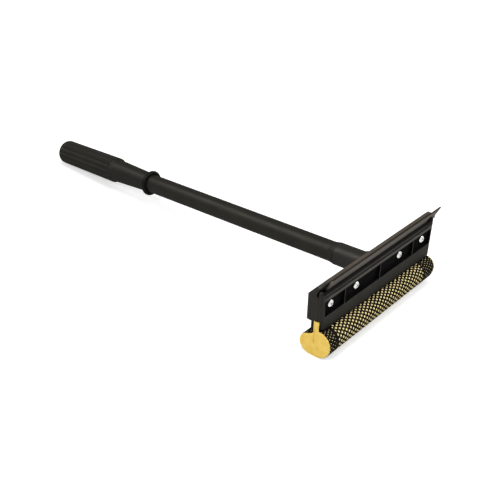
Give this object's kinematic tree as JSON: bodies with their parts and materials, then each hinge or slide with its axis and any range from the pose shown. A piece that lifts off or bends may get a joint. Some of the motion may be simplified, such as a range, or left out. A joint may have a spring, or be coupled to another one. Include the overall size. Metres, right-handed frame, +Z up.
{
  "type": "windscreen squeegee",
  "caption": "Windscreen squeegee: fluted grip and tube handle on a clamped plastic head with a rubber blade along the top and a netted foam roll below.",
  "frame": {"origin": "middle of the narrow flat on which the net-covered foam roll rests on the floor", "axes": "X along the head, +Y from the head along the floor towards the butt of the grip, +Z up; the tool lies at rest on its roll and on the butt"},
  "size_m": [0.2136, 0.539, 0.0931],
  "materials": {
    "black_plastic": "satin",
    "ring_rubber": "satin",
    "blade_rubber": "matt",
    "yellow_foam": "matt",
    "black_net": "satin",
    "bright_steel": "bright"
  },
  "bodies": {
    "tool": {"rear_jaw": "black_plastic", "clamp_plate": "black_plastic", "screw_1": "bright_steel", "screw_2": "bright_steel", "screw_3": "bright_steel", "screw_4": "bright_steel", "foam_roll": "yellow_foam", "net_cover": "black_net", "handle_tube": "black_plastic", "drip_ring": "ring_rubber", "grip": "black_plastic"},
    "blade": {"blade": "blade_rubber"}
  },
  "joints": [
    {"name": "blade_slide", "type": "slide", "parent": "tool", "child": "blade", "axis": [1, 0, 0], "range_m": [-0.024, 0.19]}
  ]
}
